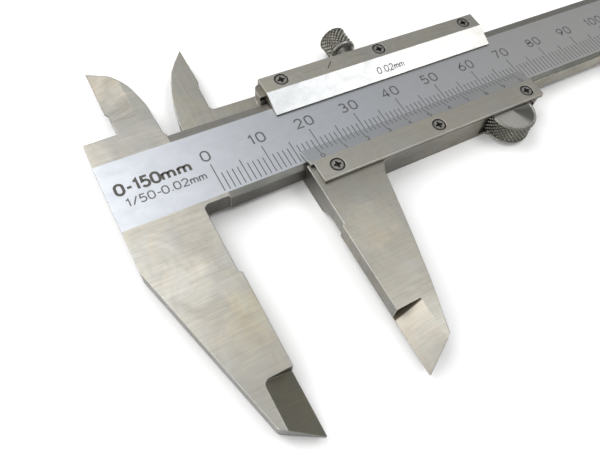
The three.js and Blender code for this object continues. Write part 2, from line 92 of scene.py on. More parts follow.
# ---------------------------------------------------------------- materials
class Look:
    """A small builder for one procedural material."""

    def __init__(self, name, metallic=1.0, roughness=0.4):
        self.mat = bpy.data.materials.new(name)
        self.mat.use_nodes = True
        self.nodes = self.mat.node_tree.nodes
        self.links = self.mat.node_tree.links
        self.nodes.clear()
        self.shader = self.nodes.new("ShaderNodeBsdfPrincipled")
        out = self.nodes.new("ShaderNodeOutputMaterial")
        self.links.new(self.shader.outputs[0], out.inputs[0])
        self.shader.inputs["Metallic"].default_value = metallic
        self.shader.inputs["Roughness"].default_value = roughness
        self.coords = self.nodes.new("ShaderNodeTexCoord").outputs["Object"]

    def feed(self, socket, value):
        if isinstance(value, bpy.types.NodeSocket):
            self.links.new(value, socket)
        else:
            socket.default_value = value

    def math(self, op, a, b=0.0, clamp=False):
        n = self.nodes.new("ShaderNodeMath")
        n.operation = op
        n.use_clamp = clamp
        for socket, value in zip(n.inputs, (a, b)):
            self.feed(socket, value)
        return n.outputs[0]

    def axes(self, source=None):
        n = self.nodes.new("ShaderNodeSeparateXYZ")
        self.links.new(source or self.coords, n.inputs[0])
        return n.outputs

    def normal(self):
        return self.nodes.new("ShaderNodeNewGeometry").outputs["True Normal"]

    def noise(self, per_metre, detail=3.0, rough=0.55, turn=(0, 0, 0), distortion=0.0):
        m = self.nodes.new("ShaderNodeMapping")
        m.inputs["Scale"].default_value = per_metre
        m.inputs["Rotation"].default_value = turn
        self.links.new(self.coords, m.inputs["Vector"])
        n = self.nodes.new("ShaderNodeTexNoise")
        n.inputs["Scale"].default_value = 1.0
        n.inputs["Detail"].default_value = detail
        n.inputs["Roughness"].default_value = rough
        n.inputs["Distortion"].default_value = distortion
        self.links.new(m.outputs[0], n.inputs["Vector"])
        return n.outputs[0]

    def spread(self, value, low, high, out_low=0.0, out_high=1.0):
        n = self.nodes.new("ShaderNodeMapRange")
        self.feed(n.inputs[0], value)
        for socket, v in zip(n.inputs[1:5], (low, high, out_low, out_high)):
            socket.default_value = v
        return n.outputs[0]

    def mix(self, factor, a, b):
        n = self.nodes.new("ShaderNodeMix")
        n.data_type = "RGBA"
        self.feed(n.inputs[0], factor)
        self.feed(n.inputs[6], a if isinstance(a, bpy.types.NodeSocket) else (*a, 1.0))
        self.feed(n.inputs[7], b if isinstance(b, bpy.types.NodeSocket) else (*b, 1.0))
        return n.outputs[2]

    def multiply(self, a, b):
        """Multiplies two colours."""
        n = self.nodes.new("ShaderNodeMix")
        n.data_type = "RGBA"
        n.blend_type = "MULTIPLY"
        n.inputs[0].default_value = 1.0
        self.feed(n.inputs[6], a)
        self.feed(n.inputs[7], b)
        return n.outputs[2]

    def product(self, first, *others):
        """Multiplies numbers."""
        for other in others:
            first = self.math("MULTIPLY", first, other)
        return first

    def shaded(self, colour, mask, factor):
        """Multiplies a colour by a colour factor where the mask is 1."""
        return self.multiply(colour, self.mix(mask, WHITE, factor))

    def tint(self, colour, factor):
        """Scales a colour by a factor socket."""
        n = self.nodes.new("ShaderNodeVectorMath")
        n.operation = "SCALE"
        self.links.new(colour, n.inputs[0])
        self.links.new(factor, n.inputs["Scale"])
        return n.outputs[0]

    def rounded(self, radius_mm):
        """The surface normal with sharp edges broken by a small radius, and how near an edge a point is."""
        n = self.nodes.new("ShaderNodeBevel")
        n.samples = 6
        n.inputs["Radius"].default_value = radius_mm * MM
        dot = self.nodes.new("ShaderNodeVectorMath")
        dot.operation = "DOT_PRODUCT"
        self.links.new(n.outputs[0], dot.inputs[0])
        self.links.new(self.normal(), dot.inputs[1])
        return n.outputs[0], self.spread(dot.outputs["Value"], 0.995, 0.90)

    def bump(self, height, strength, distance, normal=None):
        n = self.nodes.new("ShaderNodeBump")
        if normal:
            self.links.new(normal, n.inputs["Normal"])
        n.inputs["Strength"].default_value = strength
        n.inputs["Distance"].default_value = distance
        self.feed(n.inputs["Height"], height)
        self.links.new(n.outputs[0], self.shader.inputs["Normal"])

    def colour(self, value):
        self.feed(self.shader.inputs["Base Color"], value)

    def roughness(self, value):
        self.feed(self.shader.inputs["Roughness"], value)


WARM = (1.035, 1.0, 0.945)
COOL = (0.985, 1.0, 1.0)
# Colour laid on every edge: partly rubbed wear, partly a painted highlight.
WORN_AND_LIT_EDGE = (0.62, 0.61, 0.58)


def mask(look, place, axis, start, end):
    """0 at one X or Y in millimetres, rising to 1 at the other."""
    return look.spread(place[axis], ZERO[axis] + start * MM, ZERO[axis] + end * MM)


def ground_parts(look, dark, light, contrast=0.5, facets=None, front_shade=0.66, back_shade=0.40, crosswise=None,
                 radius=0.22):
    """Grinding lines along X with cloudy patches, as colour, roughness, height and normal sockets.
    Upright faces are darkened as painted shade, those facing -Y most of all, and faces turned towards +Y get
    painted shade as well.
    facets(look, facing, place) may add a colour factor for single faces, and crosswise(look, place)
    picks the parts that were ground along Y instead."""
    place = look.axes()
    facing = look.axes(look.normal())
    lines = GROUND_LINES
    fine = look.noise(lines, 4.0, 0.7)
    if crosswise:
        across = look.noise((lines[1], lines[0], lines[2]), 4.0, 0.7)
        pick = crosswise(look, place)
        fine = look.math("ADD", look.math("MULTIPLY", across, pick),
                         look.math("MULTIPLY", fine, look.math("SUBTRACT", 1.0, pick)))
    coarse = look.noise((lines[0] * 0.6, lines[1] * 0.3, lines[2] * 0.3), 3.0, 0.6, turn=(0, 0, 0.10))
    scratches = look.noise((260, 2400, 400), 2.0, 0.6, turn=(0, 0, -0.28), distortion=0.2)
    cloud = look.noise((150, 110, 140), 5.0, 0.62, turn=(0, 0, 0.7), distortion=0.9)
    stain = look.noise((170, 120, 80), 5.0, 0.7, turn=(0, 0, -0.6), distortion=1.3)
    grain = look.math("ADD", look.math("MULTIPLY", fine, 0.6), look.math("MULTIPLY", coarse, 0.2))
    grain = look.math("ADD", grain, look.math("MULTIPLY", scratches, 0.2))
    patch = look.spread(cloud, 0.36, 0.68)
    tone = look.math("ADD", look.math("MULTIPLY", look.spread(grain, 0.35, 0.65), contrast),
                     look.math("MULTIPLY", patch, 1.0 - contrast))
    colour = look.mix(tone, dark, light)
    colour = look.multiply(colour, look.mix(look.spread(stain, 0.40, 0.62), COOL, WARM))
    # Painted shade: upright faces, faces towards -Y and faces towards +Y are darkened for how light falls on
    # them.
    upright = look.spread(facing[2], 0.50, 0.15, 0.0, 1.0)
    back = look.spread(facing[1], 0.10, 0.30, 0.0, back_shade)
    front = look.spread(facing[1], -0.35, -0.85, 0.42, front_shade)
    shade = look.math("SUBTRACT", 1.0, look.math("MULTIPLY", upright, front))
    shade = look.math("MULTIPLY", shade, look.math("SUBTRACT", 1.0, back))
    colour = look.tint(colour, shade)
    normal, edge = look.rounded(radius)
    # Edges are lightened in colour, partly as rubbed wear and partly as a painted highlight.
    colour = look.mix(look.math("MULTIPLY", edge, 0.6), colour, WORN_AND_LIT_EDGE)
    if facets:
        colour = look.multiply(colour, facets(look, facing, place))
    rough = look.math("ADD", look.spread(patch, 0, 1, 0.42, 0.34), look.spread(grain, 0.3, 0.7, 0.06, -0.04))
    return colour, rough, grain, normal


def beam_facets(look, facing, place):
    """Colour factors for single faces of the beam: painted shade on the knife of the fixed outside jaw, on
    the fixed inside jaw and its bevel and on the shoulder below the scale face; painted light on the lower
    wall at the right; two stains."""
    up = look.spread(facing[2], 0.5, 0.7)
    # Painted shade: the knife facet of the fixed outside jaw is darkened for the light it turns away from.
    knife = look.product(look.spread(facing[0], 0.10, 0.25), up, mask(look, place, Y, -30, -32))
    # Painted shade on the fixed inside jaw, and deeper painted shade on its bevel leaning towards -X, lighter
    # and warmer near the tip.
    lean = look.product(look.spread(facing[0], -0.06, -0.16), mask(look, place, Y, 21, 22))
    bevel = look.mix(mask(look, place, Y, 25, 31), (0.42, 0.42, 0.42), (0.50, 0.48, 0.45))
    inside = look.mix(mask(look, place, Y, 17, 24), (0.89, 0.895, 0.91), (0.82, 0.83, 0.83))
    inside = look.mix(mask(look, place, Y, 13, 14.5), WHITE, inside)
    inside = look.mix(lean, inside, WHITE)
    # Painted shade on the shoulder that slopes down below the scale face.
    low = look.product(look.spread(facing[1], -0.12, -0.24), up, mask(look, place, Y, -1.6, -1.4))
    shoulder = look.mix(mask(look, place, X, 0, 15), (0.50, 0.52, 0.53), (0.33, 0.345, 0.35))
    # Painted light: lightens the -Y wall right of the slider, taking back much of the painted shade on
    # upright faces.
    painted_wall_light = look.product(look.spread(facing[1], -0.6, -0.8), mask(look, place, X, 57, 71))
    colour = look.mix(knife, WHITE, (0.61, 0.61, 0.545))
    colour = look.shaded(colour, low, shoulder)
    colour = look.shaded(colour, painted_wall_light, (2.35, 2.29, 2.14))
    colour = look.multiply(colour, smudge(look, place, -6.5, -22, 6.5, (1.08, 1.04, 0.93)))
    colour = look.multiply(colour, smudge(look, place, -10.5, -13, 4.0, (1.10, 1.095, 1.07)))
    colour = look.multiply(colour, inside)
    return look.shaded(colour, lean, bevel)


def cover_facets(look, facing, place):
    """One short dark line scribed slantwise across the flat of the cover."""
    middle_x, middle_y = 30.78, 18.25
    slant_x, slant_y = 0.719, 0.695
    half_length, soft = 1.08, 0.04
    edge, core = 0.11, 0.06
    dx = look.math("SUBTRACT", place[0], ZERO.x + middle_x * MM)
    dy = look.math("SUBTRACT", place[1], ZERO.y + middle_y * MM)
    across = look.math("SUBTRACT", look.product(dx, slant_y), look.product(dy, slant_x))
    along = look.math("ADD", look.product(dx, slant_x), look.product(dy, slant_y))
    width = look.spread(look.math("ABSOLUTE", across), edge * MM, core * MM)
    length = look.spread(look.math("ABSOLUTE", along), (half_length + soft) * MM, (half_length - soft) * MM)
    return look.mix(look.product(width, length), WHITE, (0.10, 0.095, 0.085))


def frame_facets(look, facing, place):
    """Colour factors for single faces of the slider frame: painted light on the moving outside jaw's knife,
    brighter by its shoulder than by its tip, with painted shade in the corner; painted shade on the
    shoulder's wall and on the part of the jaw by the vernier plate; painted light on the lower wall; a darker
    block at the left of the top rail; and one stain."""
    toward_reader = look.spread(facing[1], -0.6, -0.8)
    knife = look.product(look.spread(facing[0], -0.10, -0.20), look.spread(facing[2], 0.5, 0.7))
    # Painted light: the knife facet is lightened towards its shoulder and falls off towards the tip.
    face = look.mix(mask(look, place, Y, -34, -43), (1.30, 1.27, 1.225), (0.93, 0.93, 0.945))
    # Painted shade in the corner under the shoulder wall, widest at the left.
    below = look.math("SUBTRACT", ZERO.y + KNIFE_TOP * MM, place[1])
    corner = look.product(look.math("SUBTRACT", ZERO.x + 23.0 * MM, place[0]), 0.085)
    corner_shade = look.spread(look.math("SUBTRACT", below, corner), 0.0002, -0.0001)
    face = look.mix(corner_shade, face, (0.20, 0.175, 0.135))
    # Painted shade on the shoulder's wall that faces -Y.
    wall = look.product(toward_reader, mask(look, place, Y, -31, -32))
    # Painted light on the lower wall facing -Y, taking back part of the painted shade on upright faces.
    painted_wall_light = look.product(toward_reader, mask(look, place, X, 32, 50))
    block = look.product(mask(look, place, Y, 15.0, 15.6), look.spread(facing[2], 0.6, 0.8),
                         mask(look, place, X, 14.4, 14.8))
    colour = look.mix(knife, WHITE, face)
    # Painted shade on the part of the jaw next to the vernier plate.
    colour = look.shaded(colour, mask(look, place, Y, -13, -7), (0.80, 0.80, 0.79))
    colour = look.shaded(colour, painted_wall_light, (1.34, 1.32, 1.26))
    colour = look.shaded(colour, block, (0.70, 0.70, 0.69))
    colour = look.multiply(colour, smudge(look, place, 19.3, -17.5, 7.0, (1.20, 1.18, 1.13)))
    return look.shaded(colour, wall, (0.20, 0.17, 0.12))


def slider_crosswise(look, place):
    """The moving inside jaw and the bar under it were ground along the jaw."""
    return look.product(mask(look, place, Y, 16.2, 16.6), mask(look, place, X, 14.6, 14.2))


def smudge(look, place, x, y, reach, colour):
    """An uneven stain about a point of the face, as a colour factor."""
    dx = look.math("DIVIDE", look.math("SUBTRACT", place[0], ZERO.x + x * MM), reach * MM)
    dy = look.math("DIVIDE", look.math("SUBTRACT", place[1], ZERO.y + y * MM), reach * MM)
    far = look.math("SQRT", look.math("ADD", look.math("MULTIPLY", dx, dx), look.math("MULTIPLY", dy, dy)))
    edge = look.noise((420, 300, 300), 5.0, 0.75, turn=(0, 0, 0.5), distortion=0.8)
    far = look.math("ADD", far, look.math("MULTIPLY", look.math("SUBTRACT", edge, 0.5), 2.6))
    return look.mix(look.spread(far, 1.0, 0.25), WHITE, colour)


def ground_steel(name, dark, light, facets=None, front_shade=0.66, crosswise=None):
    look = Look(name)
    colour, rough, grain, normal = ground_parts(look, dark, light, contrast=0.55, facets=facets,
                                                front_shade=front_shade, crosswise=crosswise)
    look.colour(colour)
    look.roughness(rough)
    look.bump(grain, 0.4, 0.00002, normal)
    return look.mat


def satin_parts(look, dark, light):
    """Pearl satin chrome: a very fine matt grain with faint mottling."""
    pearl = look.noise((5200, 5200, 5200), 3.0, 0.6)
    mottle = look.noise((300, 420, 420), 4.0, 0.6, distortion=0.5)
    tone = look.math("ADD", look.math("MULTIPLY", look.spread(pearl, 0.3, 0.7), 0.5),
                     look.math("MULTIPLY", look.spread(mottle, 0.3, 0.7), 0.5))
    colour = look.mix(tone, dark, light)
    yellowed = mask(look, look.axes(), X, 25, 85)
    colour = look.shaded(colour, yellowed, (1.05, 1.0, 0.93))
    return colour, look.spread(mottle, 0.3, 0.7, 0.46, 0.41), pearl


def band(look, value, low, high, soft=0.00003):
    """1 between two values, with soft ends, and 0 elsewhere."""
    rise = look.spread(value, low - soft, low + soft)
    fall = look.spread(value, high - soft, high + soft, 1.0, 0.0)
    return look.math("MULTIPLY", rise, fall)


def two_finish(name, dark, light, satin_dark, satin_light, y_low, y_high, min_up=0.99, facets=None, back_shade=0.40,
               radius=0.10):
    """Ground steel whose upward face between two Y lines carries the satin chrome finish."""
    look = Look(name)
    colour, rough, grain, normal = ground_parts(look, dark, light, facets=facets, back_shade=back_shade, radius=radius)
    colour2, rough2, pearl = satin_parts(look, satin_dark, satin_light)
    up = look.math("GREATER_THAN", look.axes(look.normal())[2], min_up)
    face = look.math("MULTIPLY", up, band(look, look.axes()[1], y_low, y_high))
    look.colour(look.mix(face, colour, colour2))
    mixed = look.math("ADD", look.math("MULTIPLY", rough, look.math("SUBTRACT", 1.0, face)),
                      look.math("MULTIPLY", rough2, face))
    look.roughness(mixed)
    height = look.math("MULTIPLY", grain, look.math("SUBTRACT", 1.0, look.math("MULTIPLY", face, 0.9)))
    look.bump(height, 0.4, 0.00002, normal)
    return look.mat


def plain_metal(name, dark, light, roughness, per_metre=(3000, 3000, 3000)):
    """A small metal piece: a fine grain over slow clouds."""
    look = Look(name, roughness=roughness)
    fine = look.noise(per_metre, 3.0, 0.6)
    cloud = look.noise((400, 400, 400), 2.0, 0.5)
    tone = look.math("ADD", look.math("MULTIPLY", fine, 0.6), look.math("MULTIPLY", cloud, 0.4))
    look.colour(look.mix(look.spread(tone, 0.35, 0.65), dark, light))
    look.roughness(look.spread(fine, 0.3, 0.7, roughness + 0.06, roughness - 0.05))
    look.bump(fine, 0.2, 0.00002)
    return look.mat


def screw_finish(name, centre):
    """A blackened countersunk screw: a lighter ring on the head between painted shade in the cross recess and
    painted shade in the countersink round the rim.
    """
    look = Look(name, roughness=0.34)
    x, y, _ = look.axes()
    dx = look.math("SUBTRACT", x, centre.x)
    dy = look.math("SUBTRACT", y, centre.y)
    radius = look.math("SQRT", look.math("ADD", look.math("MULTIPLY", dx, dx), look.math("MULTIPLY", dy, dy)))
    ring = band(look, radius, 0.52 * MM, 1.08 * MM, 0.00012)
    fine = look.noise((2500, 2500, 2500), 3.0, 0.6)
    # Painted shade: the recess in the middle and the rim by the countersink are dark, the ring between them
    # lighter.
    bright = look.mix(fine, (0.20, 0.195, 0.18), (0.46, 0.45, 0.42))
    dark = look.mix(fine, (0.030, 0.029, 0.026), (0.075, 0.072, 0.066))
    look.colour(look.mix(ring, dark, bright))
    look.roughness(look.spread(fine, 0.3, 0.7, 0.42, 0.30))
    look.bump(fine, 0.3, 0.00002)
    return look.mat


def ink(name, tone):
    """The black fill of the engraving."""
    look = Look(name, metallic=0.0, roughness=0.5)
    fine = look.noise((6000, 6000, 6000), 2.0, 0.5)
    look.colour(look.mix(fine, tuple(t * 0.7 for t in tone), tone))
    look.roughness(look.spread(fine, 0.3, 0.7, 0.6, 0.48))
    return look.mat


def knurl_finish(name, dark, light):
    """Darkened steel, rubbed brighter on the crests of the diamonds."""
    look = Look(name, roughness=0.38)
    crest = look.nodes.new("ShaderNodeNewGeometry").outputs["Pointiness"]
    fine = look.noise((2600, 2600, 2600), 3.0, 0.6)
    speckle = look.spread(fine, 0.3, 0.7, -0.15, 0.15)
    worn = look.math("ADD", look.spread(crest, 0.46, 0.56), speckle, clamp=True)
    look.colour(look.mix(worn, dark, light))
    look.roughness(look.spread(fine, 0.3, 0.7, 0.44, 0.32))
    look.bump(fine, 0.15, 0.00001)
    return look.mat


def turned_finish(name, dark, light):
    """A lathe-turned face: rings about the piece's own axis, and a painted highlight of a bright sector
    beside a darker one, as light shows on turned metal.
    """
    look = Look(name, roughness=0.3)
    x, y, _ = look.axes()
    angle = look.math("ARCTAN2", y, x)
    # Painted highlight: a bright sector beside a darker one, and a softer lift on the far side, stand in for
    # the sheen of turned rings.
    sheen_lobe = look.spread(look.math("COSINE", look.math("ADD", angle, 0.62)), 0.72, 0.93, 1.0, 0.0)
    rise = look.spread(look.math("COSINE", look.math("ADD", angle, 2.4)), -0.2, 1.0, 0.0, 0.25)
    radius = look.math("SQRT", look.math("ADD", look.math("MULTIPLY", x, x), look.math("MULTIPLY", y, y)))
    rings = look.math("SINE", look.math("MULTIPLY", radius, 42000.0))
    tone = look.math("ADD", look.math("MULTIPLY", sheen_lobe, 0.72), look.math("MULTIPLY", rings, 0.012))
    tone = look.math("ADD", tone, rise, clamp=True)
    look.colour(look.mix(tone, dark, light))
    look.roughness(look.spread(rings, -1, 1, 0.32, 0.36))
    look.bump(rings, 0.03, 0.00001)
    return look.mat


BEAM_LOOK = two_finish("beam_finish", (0.285, 0.275, 0.25), (0.435, 0.422, 0.389),
                       (0.40, 0.418, 0.445), (0.475, 0.49, 0.52),
                       ZERO.y, ZERO.y + SCALE_FACE_W * MM, facets=beam_facets, back_shade=0.25, radius=0.22)
FRAME_LOOK = ground_steel("slider_finish", (0.315, 0.303, 0.275), (0.475, 0.46, 0.42), facets=frame_facets,
                          front_shade=0.44, crosswise=slider_crosswise)
COVER_LOOK = two_finish("cover_finish", (0.31, 0.30, 0.27), (0.50, 0.485, 0.44),
                        (0.44, 0.455, 0.46), (0.62, 0.63, 0.64),
                        cover_lo.y - MM, ZERO.y + COVER_SLOPE[2] * MM, 0.80, facets=cover_facets)
VERNIER_LOOK = two_finish("vernier_finish", (0.315, 0.305, 0.277), (0.485, 0.47, 0.43),
                          (0.37, 0.385, 0.40), (0.445, 0.46, 0.48),
                          ZERO.y + VERNIER_SLOPE[0] * MM, plate_hi.y + MM, 0.80)
SCREW_LOOK = plain_metal("screw_finish", (0.12, 0.115, 0.105), (0.26, 0.25, 0.225), 0.35)
KNURL_LOOK = knurl_finish("knurl_finish", (0.040, 0.038, 0.031), (0.27, 0.262, 0.228))
# A lighter turned finish for the rings on the thumb wheel and lock screw, which also serves as their painted
# highlight.
RIM_SHEEN_LOOK = plain_metal("turned_rim_with_sheen", (0.42, 0.41, 0.38), (0.60, 0.585, 0.55), 0.28)
# Painted shade: the cone and stem under the lock screw's head are coloured near black.
LOCK_CONE_LOOK = plain_metal("lock_cone_finish", (0.05, 0.048, 0.042), (0.13, 0.125, 0.11), 0.30)
BRIGHT_LOOK = plain_metal("bright_finish", (0.42, 0.41, 0.39), (0.56, 0.55, 0.53), 0.28, (60, 5000, 5000))
BRONZE_LOOK = plain_metal("bronze_finish", (0.32, 0.20, 0.08), (0.48, 0.32, 0.15), 0.33, (80, 4000, 4000))
INK_LOOK = ink("engraving_black", (0.088, 0.088, 0.09))
INK_BOLD = ink("engraving_bold_black", (0.06, 0.055, 0.042))

CAD_LOOKS = {
    "main_beam": BEAM_LOOK, "slider_frame": FRAME_LOOK, "upper_cover_plate": COVER_LOOK,
    "vernier_plate": VERNIER_LOOK, "gib_spring": BRONZE_LOOK, "depth_rod": BRIGHT_LOOK,
    "wheel_pin": BRIGHT_LOOK, "end_stop": FRAME_LOOK,
}
# Width in millimetres of the broken edges of the smaller pieces.
EDGE = {"upper_cover_plate": 0.07, "vernier_plate": 0.07,
        "gib_spring": 0.03, "depth_rod": 0.08, "wheel_pin": 0.05, "end_stop": 0.08}


def finish_edges(obj, width_mm):
    """Breaks the sharp edges of a machined piece, as deburring does."""
    weld = obj.modifiers.new("weld", "WELD")
    weld.merge_threshold = 0.000002
    bevel = obj.modifiers.new("edge", "BEVEL")
    bevel.width = width_mm * MM
    bevel.segments = 2
    bevel.limit_method = "ANGLE"
    bevel.angle_limit = math.radians(28)
    bevel.use_clamp_overlap = True
    bevel.harden_normals = False


def dress(obj, look):
    obj.data.materials.clear()
    obj.data.materials.append(look)


for name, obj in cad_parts.items():
    look = CAD_LOOKS.get(name, SCREW_LOOK)
    if name.startswith(("cover_screw", "vernier_screw")):
        lo, hi = (Vector(v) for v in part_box(name))
        look = screw_finish(name + "_finish", (lo + hi) / 2)
    dress(obj, look)
    if name in EDGE:
        finish_edges(obj, EDGE[name])


# ---------------------------------------------------------------- mesh helpers
def make_piece(name, points, faces, look, body):
    mesh = bpy.data.meshes.new(name)
    mesh.from_pydata([tuple(p) for p in points], [], faces)
    mesh.validate()
    mesh.update()
    mesh.materials.append(look)
    obj = bpy.data.objects.new(name, mesh)
    bpy.context.scene.collection.objects.link(obj)
    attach(obj, body)
    return obj


class Ribbons:
    """Thin closed strokes laid on a surface. place(x, y, lift) maps flat millimetres to a point in metres.
    A stroke stands lift millimetres proud and reaches sink below, and its mesh is closed."""

    def __init__(self, place, lift=0.012, sink=0.02):
        self.place = place
        self.lift = lift
        self.sink = sink
        self.points = []
        self.faces = []

    def stroke(self, path, width, closed=False):
        n = len(path)
        left = []
        right = []
        for i, (x, y) in enumerate(path):
            before = path[(i - 1) % n] if (closed or i > 0) else None
            after = path[(i + 1) % n] if (closed or i < n - 1) else None
            dirs = []
            if before:
                dirs.append(Vector((x - before[0], y - before[1])).normalized())
            if after:
                dirs.append(Vector((after[0] - x, after[1] - y)).normalized())
            along = sum(dirs, Vector((0, 0))).normalized()
            side = Vector((-along.y, along.x))
            reach = width / 2 / max(0.5, abs(dirs[0].dot(along)))
            left.append((x + side.x * reach, y + side.y * reach))
            right.append((x - side.x * reach, y - side.y * reach))
        base = len(self.points)
        for ring, height in ((left, self.lift), (right, self.lift), (left, -self.sink), (right, -self.sink)):
            self.points += [self.place(px, py, height) for px, py in ring]
        spans = n if closed else n - 1
        for i in range(spans):
            j = (i + 1) % n
            lt, rt, lb, rb = (base + k * n + i for k in range(4))
            lt2, rt2, lb2, rb2 = (base + k * n + j for k in range(4))
            self.faces += [(rt, rt2, lt2, lt), (lb, lb2, rb2, rb), (lt, lt2, lb2, lb), (rb, rb2, rt2, rt)]
        if not closed:
            first = [base + k * n for k in range(4)]
            last = [base + k * n + n - 1 for k in range(4)]
            self.faces.append((first[0], first[2], first[3], first[1]))
            self.faces.append((last[1], last[3], last[2], last[0]))

    def piece(self, name, look, body):
        return make_piece(name, self.points, self.faces, look, body)


def arc(cx, cy, rx, ry, start, end, steps=10):
    return [(cx + rx * math.cos(math.radians(start + (end - start) * i / steps)),
             cy + ry * math.sin(math.radians(start + (end - start) * i / steps))) for i in range(steps + 1)]


def glyph(ch):
    """Strokes of one character in a box 0.64 wide and 1 high: (path, closed) pairs."""
    if ch == "0":
        return [(arc(0.32, 0.68, 0.32, 0.32, 0, 180, 8) + arc(0.32, 0.32, 0.32, 0.32, 180, 360, 8), True)]
    if ch == "1":
        return [([(0.12, 0.78), (0.36, 1.0), (0.36, 0.0)], False)]
    if ch == "2":
        return [(arc(0.32, 0.70, 0.30, 0.30, 165, -25, 9) + [(0.02, 0.0), (0.64, 0.0)], False)]
    if ch == "3":
        return [(arc(0.30, 0.75, 0.27, 0.25, 150, -80, 8) + arc(0.30, 0.28, 0.32, 0.28, 70, -150, 9), False)]
    if ch == "4":
        return [([(0.48, 0.0), (0.48, 1.0), (0.0, 0.28), (0.64, 0.28)], False)]
    if ch == "5":
        hook = [(0.58, 1.0), (0.12, 1.0), (0.07, 0.56)]
        return [(hook + arc(0.30, 0.31, 0.32, 0.31, 120, -150, 10), False)]
    if ch == "6":
        return [([(0.46, 1.0)] + arc(0.32, 0.31, 0.32, 0.31, 150, 510, 14), False)]
    if ch == "7":
        return [([(0.02, 1.0), (0.62, 1.0), (0.22, 0.0)], False)]
    if ch == "8":
        return [(arc(0.32, 0.75, 0.25, 0.25, -90, 270, 12)[:-1], True),
                (arc(0.32, 0.27, 0.32, 0.27, 90, 450, 12)[:-1], True)]
    if ch == "9":
        return [([(0.18, 0.0)] + arc(0.32, 0.69, 0.32, 0.31, -30, 330, 14), False)]
    if ch in "mM":
        w = 0.36 if ch == "m" else 0.50
        return [([(0.0, 0.0), (0.0, 0.62)], False),
                ([(0.0, 0.46)] + arc(w / 2, 0.44, w / 2, 0.18, 150, 0, 5) + [(w, 0.0)], False),
                ([(w, 0.44)] + arc(w * 1.5, 0.44, w / 2, 0.18, 150, 0, 5) + [(w * 2, 0.0)], False)]
    if ch == ".":
        return [([(0.10, 0.0), (0.10, 0.13)], False)]
    if ch == "/":
        return [([(0.0, 0.0), (0.5, 1.0)], False)]
    if ch == "-":
        return [([(0.06, 0.42), (0.44, 0.42)], False)]
    return []


USUAL_ADVANCE = 0.88    # step from one character to the next, in heights
LAST_GAP = 0.24         # the part of it that is empty
ADVANCE = {"m": 0.96, "M": 1.40, ".": 0.40, "-": 0.60, "1": 0.70, "/": 0.74}


def write(ribbons, text, x, y, height, width, stretch=1.0, centred=False, gap=1.0):
    """Strokes a text that starts at x, or is centred there, with its foot at y."""
    total = (sum(ADVANCE.get(c, USUAL_ADVANCE) * gap for c in text) - LAST_GAP) * height * stretch
    pen = x - total / 2 if centred else x
    for ch in text:
        for path, closed in glyph(ch):
            moved = [(pen + px * stretch * height, y + py * height) for px, py in path]
            ribbons.stroke(moved, width, closed)
        pen += ADVANCE.get(ch, USUAL_ADVANCE) * gap * height * stretch


# ---------------------------------------------------------------- engraved scales
def on_face(x, y, lift):
    return at(x, y, lift)


def on_slope(y0, z0, y1, z1):
    """A place function for the slope from (y0, z0) to (y1, z1)."""
    rise = (z1 - z0) / (y1 - y0)
    size = math.hypot(1.0, rise)

    def place(x, y, lift):
        return at(x, y - lift * rise / size, z0 + (y - y0) * rise + lift / size)

    return place


LINE_FOOT = 0.45
LINE_TOPS = {"ten": 6.7, "five": 5.5, "one": 4.25}
lines = Ribbons(on_face)
for mm in range(0, MAIN_RANGE + 1):
    top = LINE_TOPS["ten" if mm % 10 == 0 else "five" if mm % 5 == 0 else "one"]
    lines.stroke([(mm, LINE_FOOT), (mm, top)], 0.19)
lines.piece("main_scale_lines", INK_LOOK, "beam")

numbers = Ribbons(on_face)
for mm in range(0, MAIN_RANGE + 1, 10):
    write(numbers, str(mm), mm, 7.6, height=2.15, width=0.32, stretch=1.04, centred=True, gap=1.12)
numbers.piece("main_scale_numbers", INK_LOOK, "beam")

range_mark = Ribbons(on_face)
write(range_mark, "0-150MM", -16.4, 6.85, height=2.15, width=0.50, stretch=0.95)
range_mark.piece("range_mark", INK_BOLD, "beam")

step_mark = Ribbons(on_face)
write(step_mark, "1/50-0.02mm", -15.7, 4.1, height=1.55, width=0.24, stretch=1.06)
step_mark.piece("step_mark", INK_LOOK, "beam")

vernier_face = on_slope(*VERNIER_SLOPE)
vernier_lines = Ribbons(vernier_face)
for i in range(VERNIER_STEPS + 1):
    x = OPENING + i * VERNIER_STEP
    low = 0.1 if i % 5 == 0 else 0.85
    vernier_lines.stroke([(x, 2.22), (x, low)], 0.16)
vernier_lines.piece("vernier_lines", INK_LOOK, "slider")

vernier_numbers = Ribbons(vernier_face)
for i in range(VERNIER_STEPS // 5 + 1):
    x = OPENING + i * 5 * VERNIER_STEP + 0.05
    write(vernier_numbers, str(i % 10), x, -1.05, height=0.95, width=0.2, centred=True)
vernier_numbers.piece("vernier_numbers", INK_LOOK, "slider")

cover_face = on_slope(*COVER_SLOPE)
cover_mark = Ribbons(cover_face)
write(cover_mark, "0.02mm", 39.9, 13.15, height=1.25, width=0.20, stretch=1.1)
cover_mark.piece("cover_mark", INK_LOOK, "slider")


# ---------------------------------------------------------------- knurled pieces
RUN_OUT = 0.25      # length in mm over which the knurl fades at each end
STEPS = 6           # mesh steps across one tooth of a knurl


def ridge(t):
    """A triangle wave: 1 at whole numbers, 0 halfway between."""
    return abs(t - math.floor(t) - 0.5) * 2


